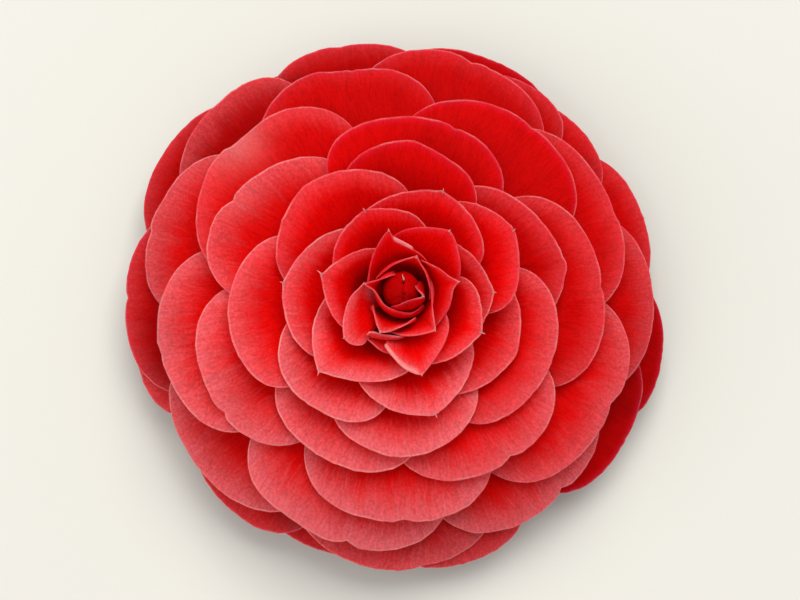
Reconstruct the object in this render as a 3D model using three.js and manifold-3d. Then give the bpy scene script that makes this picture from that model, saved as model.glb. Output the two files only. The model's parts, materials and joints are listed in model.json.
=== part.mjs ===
// Camellia bloom of the formal double form, picked with its short pedicel and resting on it.
// Millimetres, +Z up. The origin is the centre of the scar under the pedicel, the bloom faces +Z,
// and azimuths are degrees counted from +X towards +Y.

import * as THREE from 'three';
import { mergeVertices } from 'three/addons/utils/BufferGeometryUtils.js';
import Module from 'manifold-3d';

const wasm = await Module();
wasm.setup();

// ---- driving dimensions -------------------------------------------------------------------

const BLOOM_RADIUS = 46;          // widest ring of petals
const RIM_HEIGHT = 6;             // height of the outermost petal edges
const CROWN_HEIGHT = 34;          // height of the innermost petal tips
const RECEPTACLE_RADIUS = 6.2;    // where the outermost petals are attached
const RECEPTACLE_HEIGHT = 9.8;
const HEART_REACH = 4;            // reach of the innermost petals, which stand round the heart
const PETAL_THICKNESS = 0.66;
const LAYERS = 18;                // turns of overlap from the outermost petals to the heart
const SEAM = 0.3;                 // gap between neighbouring solids
const WELD = 0.001;               // points closer than this are one point

const CORE = { radius: 12.5, low: 8.6, waist: 11.5, top: 24.5 };
const CORE_ROOT = 0.6;            // petal roots start at this share of the core's squared size
const EDGE_DROP = 0.65;           // petal edges come down from the tips at most this share of reach
const HEART = { radius: 2.6, low: 20, top: 33 };

const CALYX_RECEPTACLE = { lowRadius: 3.6, highRadius: 7, low: 3.3 };
const SEPAL_THICKNESS = 0.8;
const PEDICEL = { scarRadius: 3.6, neckRadius: 2.9, edge: 0.3 };

// Petals from the outermost inwards. Each row is the azimuth of the tip, its reach from the axis,
// the sharpness of the tip (2 is round, below 1 is pointed), then for the side of lower azimuth
// and for the side of higher azimuth the half-width in degrees and the fall of the edge towards
// that side, and last the place and depth of the notch in the edge (a point where it is negative).
const PETALS = [
  [143, 47.2, 2.0, 21, 2.5, 30, 3.6, 0, 0],
  [347, 46.2, 2.0, 20, 3.0, 25, 2.6, 0, 0],
  [124, 43.9, 2.0, 22, 2.5, 22, 2.5, 0, 0],
  [103, 45.2, 2.0, 27, 2.5, 25, 3.7, -1, 0.4],
  [130, 45.2, 1.2, 19, 2.5, 30, 3.4, -1, -0.4],
  [285, 44.4, 2.0, 22, 2.5, 24, 2.5, 0, 0],
  [193, 44.0, 2.0, 22, 2.5, 20, 2.5, 0, 0],
  [181, 44.8, 2.0, 30, 2.0, 26, 3.0, -2.5, 0.5],
  [67, 45.4, 2.0, 22, 2.2, 29, 2.2, 0, 0],
  [328, 44.4, 2.0, 25, 2.6, 27, 0.8, 0, 0],
  [252, 42.3, 2.0, 22, 2.0, 22, 2.0, 0, 0],
  [233, 43.2, 2.0, 26, 2.5, 20, 2.5, 0, 0],
  [271, 43.4, 1.5, 34, 4.0, 30, 2.5, 0, 0],
  [23, 44.9, 2.0, 27, 2.5, 22, 2.5, 0, 0],
  [45, 43.4, 2.0, 21, 3.0, 16, 1.5, 0, 0],
  [57, 43.0, 2.0, 16, 2.5, 20, 2.5, 0, 0],
  [76, 43.0, 1.6, 34, 4.2, 29, 3.0, -3, 0.6],
  [220, 41.5, 2.0, 30, 0.3, 31, 2.4, 0, 0],
  [161, 41.8, 2.0, 28, 2.0, 27, 2.6, 2.5, 0.5],
  [0, 42.6, 2.0, 30, 4.2, 29, 2.6, 0, 0],
  [305, 41.3, 2.0, 29, 4.2, 33, 0.2, 7, 0.8],
  [107, 40.3, 1.2, 32, 3.5, 28, 2.0, -6, 0.3],
  [255, 40.1, 2.0, 36, 4.0, 34, 1.5, 3, 1.0],
  [332, 39.2, 2.0, 37, 3.6, 34, 1.8, 3, 0.4],
  [194, 38.5, 2.0, 34, 3.2, 31, 2.5, -1.5, 0.7],
  [27, 38.9, 2.0, 34, 3.4, 36, 3.0, -4, 0.4],
  [139, 37.5, 1.0, 37, 2.6, 36, 4.0, 0, 0],
  [269, 35.4, 2.0, 35, 4.6, 36, 1.0, 2.5, 0.5],
  [55, 35.5, 2.0, 36, 1.2, 38, 4.2, -2.5, 0.3],
  [206, 33.2, 2.0, 34, 2.4, 35, 3.6, 7, 1.0],
  [0, 32.9, 2.0, 35, 2.0, 45, 4.5, 4, 0.5],
  [156, 31.5, 1.3, 47, 6.2, 27, 2.2, -6.4, 0.6],
  [304, 31.0, 2.0, 40, 5.0, 36, 1.3, 1.5, 0.7],
  [86, 28.8, 2.0, 45, 0.5, 37, 1.0, -14, 0.4],
  [246, 27.9, 2.0, 38, 4.2, 36, 1.5, 0, 0],
  [192, 26.7, 2.0, 45, 4.2, 31, 1.0, 0, 0],
  [19, 26.2, 1.3, 34, 1.0, 48, 5.0, 0, 0],
  [329, 25.8, 2.0, 37, 2.8, 49, 3.0, 0, 0],
  [268, 24.5, 1.6, 35, 2.2, 47, 3.5, 0, 0],
  [85, 24.7, 0.9, 38, 3.5, 38, 2.4, 0, 0],
  [133, 22.4, 1.3, 52, 4.0, 45, 2.5, 0, 0],
  [227, 21.9, 2.0, 44, 5.2, 39, 2.0, 0, 0],
  [333, 19.9, 1.0, 50, 3.3, 48, 3.0, 0, 0],
  [30, 20.2, 1.0, 42, 3.0, 42, 3.0, 0, -0.2],
  [286, 18.7, 1.0, 50, 2.8, 48, 5.3, 1, -0.5],
  [174, 18.1, 0.9, 56, 5.0, 54, 0.8, 0, -0.3],
  [223, 17.3, 0.85, 50, 6.0, 60, 6.3, 0, 0],
  [68, 17.1, 1.0, 50, 1.8, 56, 2.8, 0, -0.3],
  [114, 14.2, 0.9, 52, 2.5, 58, 3.6, 0, -0.6],
  [2, 13.9, 0.8, 45, 1.2, 58, 2.4, 0, -0.3],
  [334, 13.4, 0.9, 55, 2.3, 55, 2.9, 0, -0.4],
  [283, 12.8, 0.85, 40, 6.2, 55, 5.8, 0, -0.3],
  [167, 12.6, 0.75, 56, 5.0, 56, 2.7, 0, 0],
  [53, 12.1, 0.8, 58, 4.1, 58, 4.3, 0, 0],
  [218, 10.9, 1.0, 52, 5.6, 18, 0.8, 0, 0],
  [103, 9.5, 0.6, 55, 4.0, 62, 4.2, 0, -0.4],
  [247, 9.3, 2.0, 22, 0.8, 20, 0.8, 0, 0],
  [12, 8.6, 0.5, 60, 3.0, 58, 3.4, 0, 0],
  [243, 7.4, 2.0, 24, 1.0, 26, 1.0, 0, 0],
  [309, 7.5, 0.6, 56, 1.5, 50, 4.1, 0, 0],
  [240, 6.9, 0.9, 55, 3.2, 60, 3.4, 0, 0],
  [168, 6.2, 0.5, 58, 3.4, 58, 3.4, 0, 0],
  [70, 6.0, 0.6, 62, 2.2, 60, 1.6, 0, 0],
].map(([azimuth, reach, sharpness, lowSpan, lowFall, highSpan, highFall, notchAt, notchDepth]) => ({
  azimuth, reach, sharpness, notchAt, notchDepth,
  low: { span: lowSpan, fall: lowFall },
  high: { span: highSpan, fall: highFall },
}));

// Sepals and bracts from the lowest ring upwards: how many, the azimuth of the first, their reach,
// the height of their tips, where they leave the receptacle and their half-width in degrees.
const SEPAL_RINGS = [
  { count: 3, first: 20, reach: 7.4, tip: 5.6, root: 4.7, halfSpan: 52 },
  { count: 3, first: 80, reach: 10.4, tip: 7.0, root: 5.5, halfSpan: 50 },
  { count: 5, first: 45, reach: 13.6, tip: 8.4, root: 6.3, halfSpan: 40 },
];

// ---- the nest of petal surfaces -----------------------------------------------------------

const toRadians = THREE.MathUtils.degToRad;
const turn = (degrees) => THREE.MathUtils.euclideanModulo(degrees + 180, 360) - 180;

// Height of the domed face of the bloom at a distance from the axis.
function domeHeight(reach) {
  const inside = Math.max(1 - (reach / BLOOM_RADIUS) ** 2.1, 0);
  return RIM_HEIGHT + (CROWN_HEIGHT - RIM_HEIGHT) * inside ** 0.85;
}

// Lengthwise curve of a petal in a layer, as (distance from the axis, height): from the receptacle
// out to the dome. It lies flat and turns down at the edge in layer 0 and stands up at the heart.
function layerCurve(layer) {
  const inward = THREE.MathUtils.clamp(layer / LAYERS, 0, 1);
  const root = new THREE.Vector2(RECEPTACLE_RADIUS - 3.9 * inward, RECEPTACLE_HEIGHT + 4.2 * inward);
  const reach = HEART_REACH + (BLOOM_RADIUS - 0.5 - HEART_REACH) * (1 - inward ** 1.5) ** 2.5;
  const tip = new THREE.Vector2(reach, domeHeight(reach));
  const rootSlope = toRadians(8 + 80 * inward ** 0.58);
  const tipSlope = toRadians(-34 + 86 * inward ** 0.7);
  const chord = root.distanceTo(tip);
  const along = (slope, length) => new THREE.Vector2(Math.cos(slope), Math.sin(slope))
    .multiplyScalar(length);
  return new THREE.CubicBezierCurve(
    root,
    root.clone().add(along(rootSlope, 0.4 * chord)),
    tip.clone().sub(along(tipSlope, 0.3 * chord)),
    tip,
  );
}

// Parameter up to which the points of a curve pass a test, by halving.
function parameterAt(curve, passes, end) {
  let from = 0;
  let to = end;
  for (let step = 0; step < 24; step += 1) {
    const middle = (from + to) / 2;
    if (passes(curve.getPoint(middle))) from = middle;
    else to = middle;
  }
  return from;
}

// Whether a point lies well inside the core, where petals are rooted.
function isInCore(point) {
  const rise = Math.max(point.y - CORE.waist, 0) / (CORE.top - CORE.waist);
  return (point.x / CORE.radius) ** 2 + rise ** 2 < CORE_ROOT;
}

// ---- petals -------------------------------------------------------------------------------

// Reach of a petal's edge at a place across it, from -1 (low side) through 0 (tip) to 1.
function edgeReach(petal, across) {
  const side = across < 0 ? petal.low : petal.high;
  const share = Math.min(Math.abs(across), 1);
  const shoulder = Math.max(0.42 * petal.reach - side.fall, 0.8);
  return petal.reach - side.fall * share ** petal.sharpness
    - shoulder * (1 - Math.sqrt(1 - share ** 3.7));
}

const offsetDegrees = (petal, across) => across * (across < 0 ? petal.low.span : petal.high.span);

function acrossAt(petal, azimuth) {
  const offset = turn(azimuth - petal.azimuth);
  return offset / (offset < 0 ? petal.low.span : petal.high.span);
}

const layerAt = (lay, across) => lay.middle + lay.tilt * across + lay.bend * across * across;

// Each petal lies on those that reach further: it is tilted and bent a little, so that it stays
// one layer above them at its middle and closer at its sides. Petals near the heart hug it, with
// their sides higher than their middle.
function layPetals(petals) {
  const samples = Array.from({ length: 13 }, (_, index) => (index - 6) / 6);
  const tilts = [-1.2, -0.8, -0.4, 0, 0.4, 0.8, 1.2];
  const bends = [-0.8, -0.4, 0, 0.4, 0.8];
  const laid = [];
  for (const petal of petals) {
    const needed = samples.map((across) => {
      const azimuth = petal.azimuth + offsetDegrees(petal, across);
      return laid.reduce((highest, below) => {
        const place = acrossAt(below.petal, azimuth);
        if (Math.abs(place) > 0.93) return highest;
        const gap = 1 - 0.5 * place * place - 0.15 * across * across;
        return Math.max(highest, layerAt(below.lay, place) + gap);
      }, 0);
    });
    const hug = THREE.MathUtils.clamp((22 - petal.reach) / 14, 0, 1);
    let best = null;
    for (const tilt of tilts) {
      for (const free of bends) {
        const lay = { tilt, bend: 1.5 * hug + free * (1 - 0.6 * hug), middle: 0 };
        lay.middle = Math.max(...samples.map((across, index) => needed[index] - layerAt(lay, across)));
        const cost = lay.middle + lay.bend / 3 + 0.05 * Math.abs(tilt) + 0.1 * Math.abs(free);
        if (best === null || cost < best.cost - 1e-9) best = { cost, lay: { ...lay } };
      }
    }
    laid.push({ petal, lay: best.lay });
  }
  return laid;
}

// A thin blade from a grid of points: the upper face, the same grid lower by the thickness, split
// into triangles alike on both faces, and the strips that close its edges.
function bladeGeometry(upper, lower) {
  const columns = upper.length;
  const rows = upper[0].length;
  const positions = [...upper.flat(), ...lower.flat()].flatMap((point) => point.toArray());
  const top = (column, row) => column * rows + row;
  const under = (column, row) => columns * rows + column * rows + row;
  const triangles = [];
  for (let column = 0; column < columns - 1; column += 1) {
    for (let row = 0; row < rows - 1; row += 1) {
      const corners = [[column, row], [column, row + 1], [column + 1, row + 1], [column + 1, row]];
      const [a, b, c, d] = corners.map((corner) => top(...corner));
      const [e, f, g, h] = corners.map((corner) => under(...corner));
      triangles.push(a, b, c, a, c, d, e, g, f, e, h, g);
    }
  }
  const border = [];
  for (let row = 0; row < rows - 1; row += 1) border.push([0, row]);
  for (let column = 0; column < columns - 1; column += 1) border.push([column, rows - 1]);
  for (let row = rows - 1; row > 0; row -= 1) border.push([columns - 1, row]);
  for (let column = columns - 1; column > 0; column -= 1) border.push([column, 0]);
  border.forEach((place, index) => {
    const next = border[(index + 1) % border.length];
    triangles.push(top(...place), under(...next), top(...next));
    triangles.push(top(...place), under(...place), under(...next));
  });
  const geometry = new THREE.BufferGeometry();
  geometry.setAttribute('position', new THREE.Float32BufferAttribute(positions, 3));
  geometry.setIndex(triangles);
  return geometry;
}

// A point on a surface that is swept round the axis, and the one a thickness below it.
function sweptPair(curve, parameter, azimuth, thickness) {
  const point = curve.getPoint(parameter);
  const slope = curve.getTangent(Math.min(parameter, 1));
  const angle = toRadians(azimuth);
  const place = (radius, height) => new THREE.Vector3(
    radius * Math.cos(angle), radius * Math.sin(angle), height);
  return [
    place(point.x, point.y),
    place(point.x + thickness * slope.y, point.y - thickness * slope.x),
  ];
}

function petalGeometry({ petal, lay }) {
  const isPointed = petal.sharpness < 1;
  const sides = isPointed ? [0.4, 1] : [0.5, 0.85, 1];
  const rows = 4;
  const middle = layerCurve(lay.middle);
  const tip = middle.getPoint(parameterAt(middle, (point) => point.x < petal.reach, 1.25));
  const lowestEdge = tip.y - EDGE_DROP * petal.reach;
  const halfSpan = petal.notchAt < 0 ? petal.low.span : petal.high.span;
  const notchAcross = petal.notchAt / halfSpan;
  const places = [...sides.toReversed().map((side) => -side), notchAcross, ...sides];
  const upper = [];
  const lower = [];
  places.forEach((across, column) => {
    const curve = layerCurve(layerAt(lay, across));
    const notch = column === sides.length ? petal.notchDepth : 0;
    const start = parameterAt(curve, isInCore, 1);
    const isShort = (point) => point.x < edgeReach(petal, across) - notch
      || point.y < lowestEdge;
    const end = parameterAt(curve, isShort, 1.25);
    const azimuth = petal.azimuth + offsetDegrees(petal, across);
    const pairs = Array.from({ length: rows }, (_, row) => sweptPair(
      curve, start + (end - start) * (row / (rows - 1)), azimuth, PETAL_THICKNESS));
    upper.push(pairs.map((pair) => pair[0]));
    lower.push(pairs.map((pair) => pair[1]));
  });
  return bladeGeometry(upper, lower);
}

// ---- solids -------------------------------------------------------------------------------

function toSolid(geometry) {
  geometry.deleteAttribute('normal');
  geometry.deleteAttribute('uv');
  const merged = mergeVertices(geometry, WELD);
  return new wasm.Manifold(new wasm.Mesh({
    numProp: 3,
    vertProperties: new Float32Array(merged.attributes.position.array),
    triVerts: new Uint32Array(merged.index.array),
  }));
}

function toGeometry(solid) {
  const mesh = solid.getMesh();
  const geometry = new THREE.BufferGeometry();
  geometry.setAttribute('position', new THREE.BufferAttribute(mesh.vertProperties, 3));
  geometry.setIndex(new THREE.BufferAttribute(mesh.triVerts, 1));
  geometry.computeVertexNormals();
  return geometry;
}

function largestBody(solid) {
  return solid.decompose().reduce((best, body) => (body.volume() > best.volume() ? body : best));
}

// Joins solids into one body. Crumbs that the joining leaves loose are dropped, and so are those
// that are pinched off when points closer than the weld distance are merged.
function fuse(solids) {
  const joined = largestBody(solids.reduce((whole, solid) => whole.add(solid)));
  return largestBody(toSolid(toGeometry(joined)));
}

// Solid of revolution about Z through (radius, height) points that start and end on the axis.
function revolve(points, segments) {
  const profile = points.map(([radius, height]) => new THREE.Vector2(radius, height));
  return new THREE.LatheGeometry(profile, segments).rotateX(Math.PI / 2);
}

function mesh(name, geometry, color, roughness) {
  const made = new THREE.Mesh(
    geometry, new THREE.MeshStandardMaterial({ color, roughness, metalness: 0 }));
  made.name = name;
  return made;
}

// Core of the head, widest at its waist: petals are rooted in it and stand out of it.
function coreGeometry() {
  const points = [[0, CORE.low], [CORE.radius * 0.62, CORE.low]];
  const steps = 5;
  for (let step = 0; step < steps; step += 1) {
    const angle = (Math.PI / 2) * (step / steps);
    points.push([CORE.radius * Math.cos(angle),
      CORE.waist + (CORE.top - CORE.waist) * Math.sin(angle)]);
  }
  points.push([0, CORE.top]);
  return revolve(points, 10);
}

// Closed heart of the bloom: the last petals still rolled into a pointed bud.
function heartGeometry() {
  const height = HEART.top - HEART.low;
  const outline = [[0.7, 0], [0.8, 0.45], [1, 0.72], [0.98, 0.85], [0.6, 0.96]];
  const points = outline.map(([wide, high]) => [HEART.radius * wide, HEART.low + height * high]);
  return revolve([[0, HEART.low], ...points, [0, HEART.top]], 14);
}

function corolla() {
  const blades = layPetals(PETALS).map(petalGeometry);
  const solids = [coreGeometry(), heartGeometry(), ...blades].map(toSolid);
  return mesh('corolla', toGeometry(fuse(solids)), 0xc4120f, 0.5);
}

// One rounded scale of the calyx, cupped round the underside of the bloom.
function sepalGeometry(ring, azimuth) {
  const inner = CALYX_RECEPTACLE.lowRadius - 1;
  const curve = new THREE.CubicBezierCurve(
    new THREE.Vector2(inner, ring.root - 0.4),
    new THREE.Vector2(ring.reach * 0.5, ring.root + 0.1),
    new THREE.Vector2(ring.reach * 0.85, ring.tip - 1.3),
    new THREE.Vector2(ring.reach, ring.tip),
  );
  const columns = 7;
  const rows = 3;
  const upper = [];
  const lower = [];
  for (let column = 0; column < columns; column += 1) {
    const across = (column / (columns - 1)) * 2 - 1;
    const edge = ring.reach - 0.4 * ring.reach * (1 - Math.sqrt(1 - Math.abs(across) ** 2.6));
    const end = parameterAt(curve, (point) => point.x < edge, 1.1);
    const pairs = Array.from({ length: rows }, (_, row) => sweptPair(
      curve, end * (row / (rows - 1)), azimuth + across * ring.halfSpan, SEPAL_THICKNESS));
    upper.push(pairs.map((pair) => pair[0]));
    lower.push(pairs.map((pair) => pair[1]));
  }
  return bladeGeometry(upper, lower);
}

function calyx() {
  const { lowRadius, highRadius, low } = CALYX_RECEPTACLE;
  const high = CORE.low - SEAM;
  const receptacle = revolve([
    [0, low], [lowRadius, low], [highRadius - 1, (low + high) / 2], [highRadius, high], [0, high],
  ], 12);
  const scales = SEPAL_RINGS.flatMap((ring) => Array.from({ length: ring.count }, (_, index) => (
    sepalGeometry(ring, ring.first + index * (360 / ring.count)))));
  return mesh('calyx', toGeometry(fuse([receptacle, ...scales].map(toSolid))), 0x6f7a3c, 0.7);
}

// Short pedicel with the flat scar on which the picked bloom rests.
function pedicel() {
  const { scarRadius, neckRadius, edge } = PEDICEL;
  const high = CALYX_RECEPTACLE.low - SEAM;
  return mesh('pedicel', toGeometry(toSolid(revolve([
    [0, 0], [scarRadius - edge, 0], [scarRadius, edge], [neckRadius, high * 0.6],
    [neckRadius, high], [0, high],
  ], 24))), 0x6b5a3a, 0.85);
}

const camellia = new THREE.Group();
camellia.add(corolla(), calyx(), pedicel());

export default camellia;
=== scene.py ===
# %% [markdown]
# # A camellia bloom
#
# A formal double camellia is a dome of some sixty overlapping petals without a single stamen in
# sight. The outer petals are round and lie flat, the inner ones are pointed and stand up, and the
# last few are still rolled into a bud at the heart. Under the bloom sit the green scales of the
# calyx and a very short woody stalk. The picked bloom rests on the scar of that stalk.
#
# The packed solids are loaded first. They fix the size and place of everything that is built here.

# %% Load the frame
import json
import math

import bpy
import numpy as np
from mathutils import Matrix, Vector

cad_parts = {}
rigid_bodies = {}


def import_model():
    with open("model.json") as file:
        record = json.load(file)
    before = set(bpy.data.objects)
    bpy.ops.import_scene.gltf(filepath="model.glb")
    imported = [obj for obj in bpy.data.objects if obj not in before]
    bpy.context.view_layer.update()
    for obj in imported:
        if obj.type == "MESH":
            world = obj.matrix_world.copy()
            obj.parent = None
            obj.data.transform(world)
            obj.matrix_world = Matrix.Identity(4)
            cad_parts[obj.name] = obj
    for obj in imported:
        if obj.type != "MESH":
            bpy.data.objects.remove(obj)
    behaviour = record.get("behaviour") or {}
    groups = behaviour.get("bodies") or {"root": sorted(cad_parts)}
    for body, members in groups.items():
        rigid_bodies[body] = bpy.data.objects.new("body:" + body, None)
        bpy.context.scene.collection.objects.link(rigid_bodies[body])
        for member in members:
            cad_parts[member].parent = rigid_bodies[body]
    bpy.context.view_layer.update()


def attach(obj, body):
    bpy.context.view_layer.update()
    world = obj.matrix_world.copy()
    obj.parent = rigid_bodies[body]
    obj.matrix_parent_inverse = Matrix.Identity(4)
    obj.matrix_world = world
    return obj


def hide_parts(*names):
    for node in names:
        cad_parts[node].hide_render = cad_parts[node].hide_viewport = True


for leftover in list(bpy.data.objects):
    bpy.data.objects.remove(leftover)
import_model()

# %% [markdown]
# ## The nest of petals
#
# The petals could be bent one by one by hand, but sixty petals that press on each other soon cross.
# Here they are all cut from one family of nested surfaces of revolution instead, as onion skins
# are. A surface is named by its layer number: 0 is the outermost, which lies flat and turns down at
# its rim, and 18 is the heart, which stands up. A petal's lengthwise curve in any layer is one
# Bezier curve, from the receptacle out to the domed face of the bloom. Lengths are in millimetres
# until the meshes are made.

# %% Sizes of the bloom
MM = 0.001
BLOOM_RADIUS = 46
RIM_HEIGHT = 6
CROWN_HEIGHT = 34
RECEPTACLE_RADIUS = 6.2
RECEPTACLE_HEIGHT = 9.8
HEART_REACH = 4
LAYERS = 18
DOME_FLATNESS, DOME_FULLNESS = 2.1, 0.85


def dome_height(reach):
    """Height of the domed face of the bloom at a distance from the axis."""
    inside = np.maximum(1 - (reach / BLOOM_RADIUS) ** DOME_FLATNESS, 0)
    return RIM_HEIGHT + (CROWN_HEIGHT - RIM_HEIGHT) * inside ** DOME_FULLNESS


print("the dome is", dome_height(0.0), "mm high at its middle")

# %% The curve of a layer
OUTER_REACH = BLOOM_RADIUS - 0.5
# How much nearer to the axis and how much higher the heart is rooted than the outermost layer.
ROOT_DRAW, ROOT_LIFT = 3.9, 4.2
# Slopes in degrees of the outermost layer at its root and tip, and how much steeper the heart's are.
ROOT_SLOPE, ROOT_STEEPER = 8, 80
TIP_SLOPE, TIP_STEEPER = -34, 86
# How far a curve runs straight on from its root and its tip, as shares of the line between them.
ROOT_PULL, TIP_PULL = 0.4, 0.3


def control_points(layer):
    """The four control points of a layer's curve, as (distance from the axis, height)."""
    inward = np.clip(layer / LAYERS, 0, 1)
    root = np.stack([RECEPTACLE_RADIUS - ROOT_DRAW * inward, RECEPTACLE_HEIGHT + ROOT_LIFT * inward])
    reach = HEART_REACH + (OUTER_REACH - HEART_REACH) * (1 - inward ** 1.5) ** 2.5
    tip = np.stack([reach, dome_height(reach)])
    root_slope = np.radians(ROOT_SLOPE + ROOT_STEEPER * inward ** 0.58)
    tip_slope = np.radians(TIP_SLOPE + TIP_STEEPER * inward ** 0.7)
    chord = np.hypot(*(tip - root))
    leaving = root + ROOT_PULL * chord * np.stack([np.cos(root_slope), np.sin(root_slope)])
    arriving = tip - TIP_PULL * chord * np.stack([np.cos(tip_slope), np.sin(tip_slope)])
    return root, leaving, arriving, tip


def bezier_shares(share):
    """How much each of a Bezier curve's four control points counts at a share of its way."""
    rest = 1 - share
    return rest ** 3, 3 * rest ** 2 * share, 3 * rest * share ** 2, share ** 3


def layer_point(layer, share):
    """The point at a share of the way along a layer's curve; the share may run a little past 1."""
    return sum(part * point for part, point in zip(bezier_shares(share), control_points(layer)))


print("layer 0 reaches", layer_point(0.0, 1.0), "and layer 12 reaches", layer_point(12.0, 1.0))

# %% [markdown]
# ## The petals' outlines
#
# Each petal is written down as a person would describe it from above: where its tip points, how far
# it reaches, how pointed it is, and how wide it is and how much its rim falls back on either side.
# The rows run from the outermost petal inwards. A notch is a sharp dip in the rim, as many camellia
# petals have near their middle.

# %% The table of petals
# azimuth, reach, sharpness, then half-width and fall on the low side and on the high side,
# then the place and depth of the notch. Angles are degrees from +X towards +Y.
PETAL_ROWS = [
    (143, 47.2, 2.0, 21, 2.5, 30, 3.6, 0, 0),
    (347, 46.2, 2.0, 20, 3.0, 25, 2.6, 0, 0),
    (124, 43.9, 2.0, 22, 2.5, 22, 2.5, 0, 0),
    (103, 45.2, 2.0, 27, 2.5, 25, 3.7, -1, 0.4),
    (130, 45.2, 1.2, 19, 2.5, 30, 3.4, -1, 0),
    (285, 44.4, 2.0, 22, 2.5, 24, 2.5, 0, 0),
    (193, 44.0, 2.0, 22, 2.5, 20, 2.5, 0, 0),
    (181, 44.8, 2.0, 30, 2.0, 26, 3.0, -2.5, 0.5),
    (67, 45.4, 2.0, 22, 2.2, 29, 2.2, 0, 0),
    (328, 44.4, 2.0, 25, 2.6, 27, 0.8, 0, 0),
    (252, 42.3, 2.0, 22, 2.0, 22, 2.0, 0, 0),
    (233, 43.2, 2.0, 26, 2.5, 20, 2.5, 0, 0),
    (271, 43.4, 1.5, 34, 4.0, 30, 2.5, 0, 0),
    (23, 44.9, 2.0, 27, 2.5, 22, 2.5, 0, 0),
    (45, 43.4, 2.0, 21, 3.0, 16, 1.5, 0, 0),
    (57, 43.0, 2.0, 16, 2.5, 20, 2.5, 0, 0),
    (76, 43.0, 1.6, 34, 4.2, 29, 3.0, -3, 0.6),
    (220, 41.5, 2.0, 30, 0.3, 31, 2.4, 0, 0),
    (161, 41.8, 2.0, 28, 2.0, 27, 2.6, 2.5, 0.5),
    (0, 42.6, 2.0, 30, 4.2, 29, 2.6, 0, 0),
    (305, 41.3, 2.0, 29, 4.2, 33, 0.2, 7, 0.8),
    (107, 40.3, 1.2, 32, 3.5, 28, 2.0, -6, 0.3),
    (255, 40.1, 2.0, 36, 4.0, 34, 1.5, 3, 1.0),
    (332, 39.2, 2.0, 37, 3.6, 34, 1.8, 3, 0.4),
    (194, 38.5, 2.0, 34, 3.2, 31, 2.5, -1.5, 0.7),
    (27, 38.9, 2.0, 34, 3.4, 36, 3.0, -4, 0.4),
    (139, 37.5, 1.0, 37, 2.6, 36, 4.0, 0, 0),
    (269, 35.4, 2.0, 35, 4.6, 36, 1.0, 2.5, 0.5),
    (55, 35.5, 2.0, 36, 1.2, 38, 4.2, -2.5, 0.3),
    (206, 33.2, 2.0, 34, 2.4, 35, 3.6, 7, 1.0),
    (0, 32.9, 2.0, 35, 2.0, 45, 4.5, 4, 0.5),
    (156, 31.5, 1.3, 47, 6.2, 27, 2.2, -6.4, 0.6),
    (304, 31.0, 2.0, 40, 5.0, 36, 1.3, 1.5, 0.7),
    (86, 28.8, 2.0, 45, 0.5, 37, 1.0, -14, 0.4),
    (246, 27.9, 2.0, 38, 4.2, 36, 1.5, 0, 0),
    (192, 26.7, 2.0, 45, 4.2, 31, 1.0, 0, 0),
    (19, 26.2, 1.3, 34, 1.0, 48, 5.0, 0, 0),
    (329, 25.8, 2.0, 37, 2.8, 49, 3.0, 0, 0),
    (268, 24.5, 1.6, 35, 2.2, 47, 3.5, 0, 0),
    (85, 24.7, 0.9, 38, 3.5, 38, 2.4, 0, 0),
    (133, 22.4, 1.3, 52, 4.0, 45, 2.5, 0, 0),
    (227, 21.9, 2.0, 44, 5.2, 39, 2.0, 0, 0),
    (333, 19.9, 1.0, 50, 3.3, 48, 3.0, 0, 0),
    (30, 20.2, 1.0, 42, 3.0, 42, 3.0, 0, 0),
    (286, 18.7, 1.0, 50, 2.8, 48, 5.3, 1, 0),
    (174, 18.1, 0.9, 56, 5.0, 54, 0.8, 0, 0),
    (223, 17.3, 0.85, 50, 6.0, 60, 6.3, 0, 0),
    (68, 17.1, 1.0, 50, 1.8, 56, 2.8, 0, 0),
    (114, 14.2, 0.9, 52, 2.5, 58, 3.6, 0, 0),
    (2, 13.9, 0.8, 45, 1.2, 58, 2.4, 0, 0),
    (334, 13.4, 0.9, 55, 2.3, 46, 2.9, 0, 0),
    (167, 12.6, 0.75, 56, 5.0, 56, 2.7, 0, 0),
]
print("rows in the table:", len(PETAL_ROWS))

# %% The outline of a petal
# Its rounded shoulders: their depth as a share of the reach and at least, and how square they are.
SHOULDER, SHOULDER_LEAST, SQUARENESS = 0.42, 0.8, 3.7


class Petal:
    """One petal's outline as seen from above, and how it lies among the layers."""

    def __init__(self, number, row):
        self.number = number
        (self.azimuth, self.reach, self.sharpness, self.low_span, self.low_fall,
         self.high_span, self.high_fall, self.notch_at, self.notch_depth) = row
        self.random = np.random.default_rng(1000 + number)
        self.middle = self.tilt = self.bend = 0.0

    def spans(self, across):
        return np.where(across < 0, self.low_span, self.high_span)

    def edge_reach(self, across):
        """Reach of the rim at a place across the petal, from -1 through the tip at 0 to 1."""
        fall = np.where(across < 0, self.low_fall, self.high_fall)
        share = np.minimum(np.abs(across), 1)
        shoulder = np.maximum(SHOULDER * self.reach - fall, SHOULDER_LEAST)
        return (self.reach - fall * share ** self.sharpness
                - shoulder * (1 - np.sqrt(1 - share ** SQUARENESS)))

    def across_at(self, azimuth):
        offset = (azimuth - self.azimuth + 180) % 360 - 180
        return offset / self.spans(offset)

    def layer(self, across):
        return self.middle + self.tilt * across + self.bend * across ** 2


petals = [Petal(number, row) for number, row in enumerate(PETAL_ROWS, start=1)]
print(len(petals), "petals reach from", petals[-1].reach, "to", petals[0].reach, "mm")

# %% [markdown]
# ## Laying the petals on each other
#
# A real petal lies on the ones that opened before it. Each petal here is tilted and bent a little,
# by trying a few ways and keeping the lowest, so that it stays one layer above the petals under it
# at its middle and closer at its sides. Petals near the heart hug it, with raised sides.

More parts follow.
